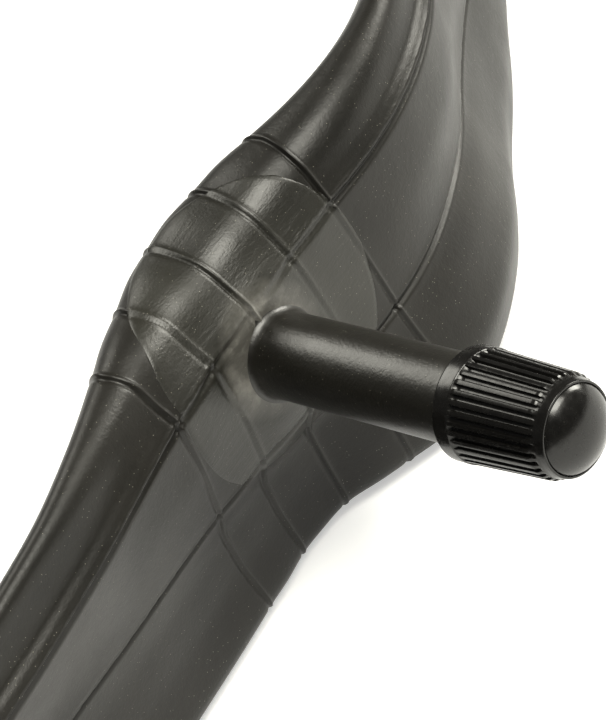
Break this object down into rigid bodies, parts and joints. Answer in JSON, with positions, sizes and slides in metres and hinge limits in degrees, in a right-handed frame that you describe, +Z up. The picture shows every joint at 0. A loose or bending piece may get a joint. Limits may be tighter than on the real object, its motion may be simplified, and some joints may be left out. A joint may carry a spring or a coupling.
{
  "type": "inner tube",
  "caption": "Closed ring of slack butyl tube lying on its edge, with a rubber-covered valve stem on a patch and a ribbed screw cap over a spring valve core.",
  "frame": {"origin": "on the ground, in the middle of the ring's outline", "axes": "+Z up, out of the plane of the ring; the valve stands on the +Y side and points along -Y into the ring"},
  "size_m": [0.5678, 0.5478, 0.0385],
  "materials": {
    "tube_rubber": "satin butyl with a faint bloom",
    "patch_rubber": "satin butyl, buffed",
    "stem_rubber": "smooth satin moulding",
    "stem_brass": "turned",
    "core_brass": "turned",
    "seal_rubber": "smooth",
    "spring_steel": "drawn wire",
    "cap_plastic": "moulded, satin gloss"
  },
  "bodies": {
    "tube": {"tube_body": "tube_rubber", "valve_patch": "patch_rubber", "stem_rubber": "stem_rubber", "stem_insert": "stem_brass", "core_plug": "core_brass", "core_barrel": "core_brass", "core_gasket": "seal_rubber", "core_spring": "spring_steel"},
    "pin": {"core_pin": "core_brass", "core_cup": "core_brass", "core_cup_seal": "seal_rubber"},
    "cap_washer": {"cap_seal": "seal_rubber"},
    "cap": {"valve_cap": "cap_plastic"}
  },
  "joints": [
    {"name": "core_pin_press", "type": "slide", "parent": "tube", "child": "pin", "axis": [0, 1, 0], "range_m": [0, 0.0012], "stiffness_N_per_m": 600, "springref_m": -0.002, "deforming": ["core_spring"]},
    {"name": "cap_lift", "type": "slide", "parent": "tube", "child": "cap_washer", "axis": [0, -1, 0], "range_m": [0, 0.00794]},
    {"name": "cap_turn", "type": "hinge", "parent": "cap_washer", "child": "cap", "pos_m": [-0.03189, 0.20312, 0.0258], "axis": [0, -1, 0], "range_deg": [0, 3601]}
  ],
  "couplings": [
    {"joint": "cap_turn", "follows": "cap_lift", "rad_per_m": 7913.3}
  ]
}
